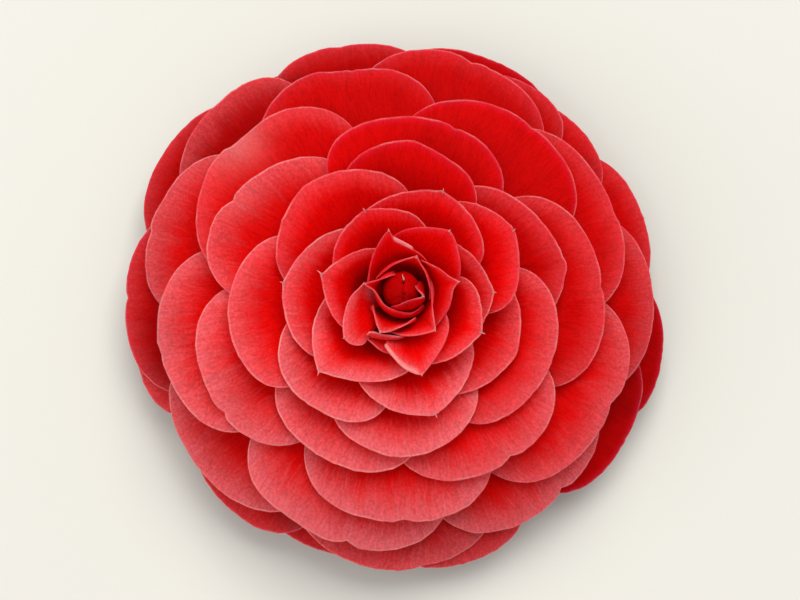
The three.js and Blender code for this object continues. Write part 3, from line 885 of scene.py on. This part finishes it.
def ball_grid():
    """Points of the smooth ball, ring by ring, round its own axis."""
    wall = np.linspace(BALL_FOOT, BALL_WAIST - 0.3, BALL_WALL_RINGS)
    dome = BALL_WAIST + (BALL_TOP - BALL_WAIST) * np.sin(
        np.linspace(0, 1, BALL_RINGS - BALL_WALL_RINGS) * math.pi / 2 * 0.985)
    height = np.concatenate([wall, dome])[:, None] * np.ones(BALL_SIDES)
    rise = np.clip((height - BALL_WAIST) / (BALL_TOP - BALL_WAIST), 0, 1)
    drop = np.clip((BALL_WAIST - height) / (BALL_WAIST - BALL_FOOT), 0, 1)
    radius = BALL_RADIUS * np.sqrt(1 - rise ** 2.2) * (1 - 0.5 * drop ** 1.5)
    angle = np.linspace(0, 2 * math.pi, BALL_SIDES, endpoint=False)
    return radius * np.cos(angle), radius * np.sin(angle), height


def ball_creases(x, y, height):
    """How deep the ball is creased at each point, from 0 to 1, and how far one side laps over."""
    seam = 0.18 * np.sin(y * 1.3 + 0.5)
    on_top = smooth_step(28.5, 30.5, height)
    groove = bump(x, seam, SEAM_WIDTH, 1.5) * smooth_step(-1.6, -0.9, y) * on_top
    crease = 0.15 * groove
    for pit_x, pit_y in PITS:
        crease = np.maximum(crease, bump(np.hypot(x - pit_x, y - pit_y), 0, PIT_WIDTH) * on_top)
    second = bump(y, -1.35 - 0.12 * (x - 0.3) ** 2, 0.2, 1.5) * smooth_step(-2.4, -1.0, x)
    crease = np.maximum(crease, 0.3 * second * (1 - smooth_step(1.4, 2.2, x)) * on_top)
    lap = smooth_step(-0.05, 0.3, x - seam) * bump(x, 0.5, 1.8) * on_top
    return crease, lap


def build_ball():
    x, y, height = ball_grid()
    crease, lap = ball_creases(x, y, height)
    swell = 1 + LAP_HEIGHT * lap - SEAM_DEPTH * crease
    level = height + np.maximum(height - BALL_WAIST, 0) * (swell - 1)
    lean = smooth_step(*LEAN_HEIGHTS, level)
    points = np.stack([x * swell + BALL_CENTRE[0] * lean, y * swell + BALL_CENTRE[1] * lean,
                       level], axis=2)
    plain = np.zeros_like(crease)
    blade = np.stack([np.arctan2(y, x) * 0.6, BALL_TOP - height, plain + BALL_NUMBER], axis=2)
    # The ball's value on that scale is painted shade, deeper still in its creases and pits.
    values = {"rim_mm": plain + FAR_FROM_RIM, "blade": blade, "pale": plain, "line": plain,
              "shade_and_tone": BALL_PAINTED_SHADE - CREASE_PAINTED_SHADE * crease}
    return add_piece("bud", points, solid_faces(BALL_RINGS, BALL_SIDES), values)


corolla_pieces.append(build_ball())
print("the ball has", len(corolla_pieces[-1].data.vertices), "points")

# %% [markdown]
# ## The receptacle, the calyx and the stalk
#
# The petals are joined at their bases to a small fleshy cone, the receptacle. Under it, eleven
# green scales overlap like roof tiles, and a short woody stalk ends in a flat scar. All of these
# are turned shapes or small blades, so they are made from profiles: a lathe for the cone and the
# stalk, and the blade mesh from above for the scales, which are cupped in the same way as petals.

# %% A turned shape
def fine_profile(corners, step):
    """The same profile with a point every step, so that it can be roughened."""
    corners = np.array(corners, dtype=float)
    places = runs_along(corners)
    wanted = np.linspace(0, places[-1], int(places[-1] / step) + 2)
    return np.stack([np.interp(wanted, places, corners[:, 0]),
                     np.interp(wanted, places, corners[:, 1])], axis=1)


def turned(name, corners, step, sides, roughen):
    """A solid of revolution through (radius, height) corners; roughen changes the radius."""
    profile = fine_profile(corners, step)
    angle = np.linspace(0, 2 * math.pi, sides, endpoint=False) * np.ones((len(profile), 1))
    height = profile[:, 1:] * np.ones(sides)
    radius = roughen(profile[:, :1] * np.ones(sides), angle, height)
    points = np.stack([radius * np.cos(angle), radius * np.sin(angle), height], axis=2)
    return add_piece(name, points, solid_faces(len(profile), sides), {})


def ribbed(radius, angle, height):
    """Low ribs below each petal base."""
    return radius + 0.12 * np.sin(angle * 11 + height) * np.sin(angle * 5 - height * 0.7)


receptacle = turned("receptacle", [
    (0.05, 8.35), (6.7, 8.35), (6.9, 9.6), (6.0, 11.5), (4.2, 13.6), (2.6, 15.5), (1.9, 19.5),
    (0.05, 20.0)], 0.3, 72, ribbed)
print("the receptacle has", len(receptacle.data.vertices), "points")

# %% The scales of the calyx
# how many, azimuth of the first, reach, height of the tip, height of the root, half-width
SCALE_RINGS = [(3, 20, 7.4, 5.6, 4.7, 52), (3, 80, 10.4, 7.0, 5.5, 50), (5, 45, 13.6, 8.4, 6.3, 40)]
SCALE_ROOT = 2.6
SCALE_COLUMNS, SCALE_ROWS = 41, 22
FIRST_SCALE_NUMBER = 81


def scale_face(azimuth, reach, tip, root, half_span, random):
    """Upper face of one scale, cupped round the underside of the bloom."""
    across = np.sin(np.linspace(-1, 1, SCALE_COLUMNS) * math.pi / 2)
    rim = reach - 0.4 * reach * (1 - np.sqrt(1 - np.abs(across) ** 2.6))
    rim += 0.08 * ripple(random, across * 6, 1, 4)
    share = np.linspace(0, 1, SCALE_ROWS)
    corners = np.array([(SCALE_ROOT, root - 0.4), (reach * 0.5, root + 0.1),
                        (reach * 0.85, tip - 1.3), (reach, tip)])
    curve = np.stack(bezier_shares(np.linspace(0, 1, 200)), axis=1) @ corners
    radius = SCALE_ROOT + (rim - SCALE_ROOT)[:, None] * share
    height = np.interp(radius, curve[:, 0], curve[:, 1])
    height += 0.10 * ripple(random, across * 3, 1, 3)[:, None] * share ** 2
    height += 0.10 * (1 - np.abs(across[:, None])) * np.sin(share * math.pi)
    angle = np.radians(azimuth + across * half_span)[:, None]
    return np.stack([radius * np.cos(angle), radius * np.sin(angle), height], axis=2)


def build_scales():
    random = np.random.default_rng(7)
    blades = BladeMesh()
    thickness = np.interp(np.linspace(0, 1, SCALE_ROWS), [0, 0.75, 1], [0.8, 0.7, 0.3])
    plain = np.zeros((SCALE_COLUMNS, SCALE_ROWS))
    number = FIRST_SCALE_NUMBER
    for count, first, reach, tip, root, half_span in SCALE_RINGS:
        for index in range(count):
            upper = scale_face(first + index * 360 / count, reach, tip, root, half_span, random)
            blades.add(upper, plain + thickness, number, random.uniform(0, 1), plain, plain)
            number += 1
    return blades.build("calyx_scales")


calyx_scales = build_scales()
calyx_cone = turned("calyx_cone", [
    (0.05, 3.3), (3.6, 3.3), (6.0, 5.8), (6.9, 8.1), (6.6, 8.3), (0.05, 8.3)], 0.3, 72, ribbed)
print("the calyx has", sum(ring[0] for ring in SCALE_RINGS), "scales")

# %% The stalk
STALK_TOP = 3.0


def barky(radius, angle, height):
    """Fine furrows along the stalk and the rings where early scales dropped off."""
    wall = smooth_step(2.4, 2.8, radius)
    furrows = 0.05 * np.sin(angle * 23 + 2 * np.sin(angle * 3))
    furrows = furrows + 0.03 * np.sin(angle * 41 + height * 2)
    rings = 0.10 * bump(height, 1.15, 0.16) + 0.08 * bump(height, 2.2, 0.13)
    lumps = 0.07 * np.sin(angle * 4 + 1) * np.sin(height * 1.7)
    return radius + wall * (furrows + rings + lumps - 0.08)


stalk = turned("stalk", [
    (0.05, 0), (3.3, 0), (3.55, 0.12), (3.6, 0.4), (3.2, 1.2), (2.9, 1.8), (2.9, STALK_TOP),
    (0.05, STALK_TOP)], 0.1, 144, barky)
print("the stalk is", STALK_TOP, "mm long")

# %% [markdown]
# ## Writing a finish
#
# A finish is a net of nodes. It can be wired by hand in the Shader Editor, where each sum is one
# Math node. Here a small class stands for one socket, and takes part in Python sums: every
# operator adds the Math node that it needs. All other nodes come from one method, so that a finish
# reads as a few lines of plain formulas.

# %% One socket of a finish
def operator(operation):
    """The method of an operator, and the one for a number that stands on its left."""
    def plain(self, other):
        return self.math(operation, self, other)

    def reflected(self, other):
        return self.math(operation, other, self)

    return plain, reflected


class Socket:
    """A socket that takes part in sums; numbers may stand on either side."""

    def __init__(self, tree, socket):
        self.tree, self.socket = tree, socket

    @classmethod
    def node(cls, tree, kind, settings, values, output=0):
        """Adds a node: its settings first, then the values or links of its sockets."""
        made = tree.nodes.new(kind)
        for title, setting in settings.items():
            setattr(made, title, setting)
        for title, value in values.items():
            if isinstance(value, Socket):
                tree.links.new(value.socket, made.inputs[title])
            else:
                made.inputs[title].default_value = value
        return cls(tree, made.outputs[output])

    def math(self, operation, first, second):
        return Socket.node(self.tree, "ShaderNodeMath", {"operation": operation},
                           {0: first, 1: second})

    __add__, __radd__ = operator("ADD")
    __sub__, __rsub__ = operator("SUBTRACT")
    __mul__, __rmul__ = operator("MULTIPLY")
    __truediv__, __rtruediv__ = operator("DIVIDE")
    __pow__, __rpow__ = operator("POWER")
    at_most = operator("MINIMUM")[0]
    at_least = operator("MAXIMUM")[0]

    def fade(self, low, high):
        """0 at low, 1 at high and smooth in between."""
        return Socket.node(self.tree, "ShaderNodeMapRange", {"interpolation_type": "SMOOTHSTEP"},
                           {0: self, 1: low, 2: high, 3: 0.0, 4: 1.0})


print("operators ready:", [title for title in vars(Socket) if title.startswith("__r")])

# %% A finish and its helpers
class Finish:
    """A material that is built from sockets."""

    def __init__(self, name, steady):
        self.material = bpy.data.materials.new(name)
        self.material.use_nodes = True
        self.tree = self.material.node_tree
        self.shader = self.tree.nodes["Principled BSDF"]
        for title, value in steady.items():
            self.shader.inputs[title].default_value = value
        self.spot = self.node("ShaderNodeTexCoord", {}, {}, "Object")

    def node(self, kind, settings, values, output=0):
        return Socket.node(self.tree, kind, settings, values, output)

    def read(self, title, output="Fac"):
        """A value that was stored at the points of the mesh."""
        return self.node("ShaderNodeAttribute", {"attribute_name": title}, {}, output)

    def vector(self, x, y, z):
        return self.node("ShaderNodeCombineXYZ", {}, {0: x, 1: y, 2: z})

    def part(self, vector, index):
        """One of the three numbers of a vector."""
        return self.node("ShaderNodeSeparateXYZ", {}, {0: vector}, index)

    def noise(self, place, scale, detail=2.0):
        """Cloudy noise between 0 and 1; the scale is in clouds per unit of the place."""
        return self.node("ShaderNodeTexNoise", {},
                         {"Vector": place, "Scale": scale, "Detail": detail})

    def blend(self, share, first, second):
        """The first colour where the share is 0, the second where it is 1."""
        return self.node("ShaderNodeMix", {"data_type": "RGBA"}, {0: share, 6: first, 7: second}, 2)

    def brighten(self, color, amount):
        """The colour times a number that varies."""
        grey = self.vector(amount, amount, amount)
        return self.node("ShaderNodeVectorMath", {"operation": "MULTIPLY"}, {0: color, 1: grey})

    def put(self, title, value):
        self.tree.links.new(value.socket, self.shader.inputs[title])

    def emboss(self, height, depth):
        """Bump from a height between 0 and 1, as deep as depth in metres."""
        self.put("Normal", self.node("ShaderNodeBump", {},
                                     {"Height": height, "Distance": depth, "Strength": 1.0}))


print("finishes are made of Principled BSDF and noise")

# %% [markdown]
# ## The finish of the petals
#
# A petal is soft and slightly waxy. Its colour lies in thin-walled cells, so light gets under the
# surface and the folds between petals glow deep red. Towards the rim the red pales to coral, in
# streaks that follow the veins, and the rim itself is a fine pale line, which is a broad band where
# the rim is rolled in. Painting sixty petals by hand would be one way. Here the mesh tells the
# finish how far each point is from the rim, where it lies across the petal and which petal it is
# on, so one set of formulas gives every petal its own veins. The mesh also tells it how pale each
# petal is painted: painted light makes the petals whose faces turn to the light paler and more
# coral, and painted shade makes the outermost petals, the petals in shade and the ball deep red.

# %% The petal finish
RED = (0.86, 0.002, 0.0015, 1)
# The deep red that the outermost petals and the petals in painted shade are painted.
DEEP_RED_SHADE = (0.30, 0.0003, 0.0006, 1)
CORAL = (0.95, 0.125, 0.135, 1)
PALE = (0.95, 0.34, 0.32, 1)
PURPLE = (0.62, 0.02, 0.06, 1)


def petal_finish():
    finish = Finish("petal", {
        "Specular IOR Level": 0.02, "Subsurface Weight": 0.9, "Subsurface Scale": 0.0025,
        "Subsurface Radius": (1.0, 0.06, 0.04)})
    rim_mm = finish.read("rim_mm")
    shade_and_tone = finish.read("shade_and_tone")
    pale = finish.read("pale")
    sideways = finish.part(finish.read("blade", "Vector"), 0)
    number = finish.part(finish.read("blade", "Vector"), 2)

    # Streaks along the petal, broad and fine, and veins where the fine ones are at their middle.
    wander = finish.noise(finish.spot, 220.0, 3.0) * 2.6
    place = finish.vector(sideways * 0.55 + wander, rim_mm * 0.09, number * 3.7)
    broad = finish.noise(place, 1.0, 3.0)
    place = finish.vector(sideways * 1.5 + wander, rim_mm * 0.22, number * 5.1)
    fine = finish.noise(place, 1.0, 4.0)
    vein = 1 - ((fine - 0.5) * (fine - 0.5) * 420).at_most(1)
    cloud = finish.noise(finish.spot, 240.0, 3.0)
    grain = finish.noise(finish.spot, 2300.0, 3.0)

    # Red within, with painted shade: deep red on the outermost petals and the petals painted for
    # shade, while the inner petals are kept lit.
    lit = (0.55 + 0.45 * shade_and_tone.fade(0.0, 0.8)).at_least(0.88 * number.fade(28.0, 50.0))
    red = (0.1 + 0.9 * number.fade(4.0, 24.0)) * lit + 1.5 * shade_and_tone.at_most(0)
    color = finish.blend(red, DEEP_RED_SHADE, RED)

    # Coral towards the rim, in streaks, which is partly the petal's own colour and partly painted
    # light:
    # there is more of it on the petals painted paler for the light.
    streak = broad * 0.6 + fine * 0.4
    blush_and_light_mm = 2.5 + 12.0 * streak * (0.2 + shade_and_tone).at_least(0.1)
    blush_and_light_mm = blush_and_light_mm * (1 - 0.5 * number.fade(30.0, 56.0))
    blush_and_light = (1 - rim_mm / blush_and_light_mm).at_least(0) ** 1.9
    blush_and_light = blush_and_light * (1.25 * shade_and_tone - 0.02).at_least(0) * (0.7 + 0.3 * number.fade(8.0, 24.0))
    blush_and_light = blush_and_light * (0.6 + 0.8 * streak) * (0.5 + 1.0 * grain)
    color = finish.blend(blush_and_light.at_most(1), color, CORAL)

    # A purple edge, stronger on the petals painted deep for shade, then the pale line of the rim,
    # which is painted stronger on the lit petals, and the pale places, among them the painted
    # highlights.
    edge = (1 - rim_mm / 1.6).at_least(0) ** 2
    color = finish.blend(edge * (1 - shade_and_tone) * 0.45, color, PURPLE)
    line = (1 - rim_mm / (0.14 + 0.24 * broad)).at_least(0)
    line = line * (0.15 + 0.6 * cloud.fade(0.35, 0.65)) * (0.45 + 0.45 * shade_and_tone) * finish.read("line")
    color = finish.blend((line + pale * 0.55).at_most(1), color, PALE)

    # Veins, velvet and faint clouds darken or lighten all of it.
    shade = 1.03 - 0.13 * vein * (1 - pale) + 0.35 * (grain - 0.5) - 0.32 * (cloud - 0.5)
    finish.put("Base Color", finish.brighten(color, shade - 0.22 * (broad - 0.5)))
    finish.put("Roughness", 0.46 + 0.16 * grain + 0.10 * cloud)
    finish.emboss(fine * 0.5 + broad * 0.9 - vein * 0.10 + grain * 0.12, 0.00020)
    return finish.material


petal_material = petal_finish()
print("nodes in the petal finish:", len(petal_material.node_tree.nodes))

# %% [markdown]
# ## The finish of the scales and the stalk
#
# The scales are leathery. They are olive green, yellower towards the base, with a thin dry brown
# margin and a grey bloom of very short hairs, which sheen stands for. The stalk is bark: brown over
# green, with fine furrows along it and rings across it. Its scar is pale and corky, because the
# wood inside shows there.

# %% The scale finish
def scale_finish():
    finish = Finish("scale", {
        "Specular IOR Level": 0.3, "Sheen Weight": 0.35, "Sheen Roughness": 0.5,
        "Sheen Tint": (0.75, 0.8, 0.62, 1)})
    rim_mm = finish.read("rim_mm")
    shade_and_tone = finish.read("shade_and_tone")
    sideways = finish.part(finish.read("blade", "Vector"), 0)
    cloud = finish.noise(finish.spot, 320.0, 3.0)
    grain = finish.noise(finish.spot, 2600.0, 3.0)
    rib = finish.noise(finish.vector(sideways * 1.8, rim_mm * 0.15, shade_and_tone * 20), 1.0, 3.0)
    color = finish.blend(shade_and_tone * 0.5 + cloud * 0.5, (0.12, 0.17, 0.035, 1), (0.24, 0.27, 0.07, 1))
    color = finish.blend((rim_mm / 8.0).at_most(1) * 0.5, color, (0.30, 0.31, 0.12, 1))
    dry = (1 - rim_mm / (0.5 + 0.9 * cloud)).at_least(0).fade(0.0, 0.7)
    color = finish.blend(dry * 0.85, color, (0.13, 0.06, 0.025, 1))
    fleck = finish.noise(finish.spot, 900.0, 1.0).fade(0.63, 0.72)
    color = finish.blend(fleck * 0.5, color, (0.16, 0.08, 0.03, 1))
    finish.put("Base Color", finish.brighten(color, 1.12 - 0.25 * (grain - 0.5) - 0.25 * rib))
    finish.put("Roughness", 0.5 + 0.2 * grain + 0.1 * dry)
    finish.emboss(rib * 0.8 + grain * 0.25 + fleck * 0.2, 0.00035)
    return finish.material


scale_material = scale_finish()
print("nodes in the scale finish:", len(scale_material.node_tree.nodes))

# %% The stalk finish
def stalk_finish():
    finish = Finish("stalk", {"Specular IOR Level": 0.3})
    stretched = finish.node("ShaderNodeVectorMath", {"operation": "MULTIPLY"},
                            {0: finish.spot, 1: (1.0, 1.0, 0.25)})
    furrow = finish.noise(stretched, 1500.0, 4.0)
    cloud = finish.noise(finish.spot, 500.0, 3.0)
    grain = finish.noise(finish.spot, 4000.0, 2.0)
    color = finish.blend(furrow.fade(0.35, 0.65), (0.085, 0.045, 0.022, 1), (0.22, 0.15, 0.075, 1))
    color = finish.blend(cloud.fade(0.45, 0.7) * 0.6, color, (0.16, 0.17, 0.05, 1))
    scar = 1 - finish.part(finish.spot, 2).fade(0.00002, 0.00018)
    wood = finish.blend(cloud, (0.42, 0.34, 0.2, 1), (0.56, 0.47, 0.3, 1))
    color = finish.blend(scar, color, wood)
    finish.put("Base Color", finish.brighten(color, 1.1 - 0.3 * (grain - 0.5)))
    finish.put("Roughness", 0.6 + 0.25 * furrow)
    finish.emboss(furrow * 0.8 + grain * 0.2, 0.00025)
    return finish.material


stalk_material = stalk_finish()
print("nodes in the stalk finish:", len(stalk_material.node_tree.nodes))

# %% [markdown]
# ## The floor
#
# A plain pale floor, so that nothing draws the eye from the bloom. It is one flat face, far wider
# than the view, with a faint cloudiness like that of painted board.

# %% The floor
def floor_finish():
    finish = Finish("floor", {"Specular IOR Level": 0.2})
    cloud = finish.noise(finish.spot, 8.0, 3.0)
    finish.put("Base Color", finish.blend(cloud, (0.70, 0.68, 0.60, 1), (0.74, 0.72, 0.64, 1)))
    finish.put("Roughness", 0.75 + 0.1 * cloud)
    return finish.material


FLOOR_HALF = 1500
floor = add_piece("floor", [
    (-FLOOR_HALF, -FLOOR_HALF, 0), (FLOOR_HALF, -FLOOR_HALF, 0), (FLOOR_HALF, FLOOR_HALF, 0),
    (-FLOOR_HALF, FLOOR_HALF, 0)], [(0, 1, 2, 3)], {})
floor.data.materials.append(floor_finish())
print("the floor is", 2 * FLOOR_HALF, "mm wide")

# %% [markdown]
# ## Hand-over
#
# Every piece is told which packed solid it rides on and stands for.

# %% Hand the pieces over
def hand_over(piece, material, replaced):
    piece.data.materials.append(material)
    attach(piece, "root")
    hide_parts(replaced)


for piece in corolla_pieces + [receptacle]:
    hand_over(piece, petal_material, "corolla")
for piece in (calyx_scales, calyx_cone):
    hand_over(piece, scale_material, "calyx")
hand_over(stalk, stalk_material, "pedicel")
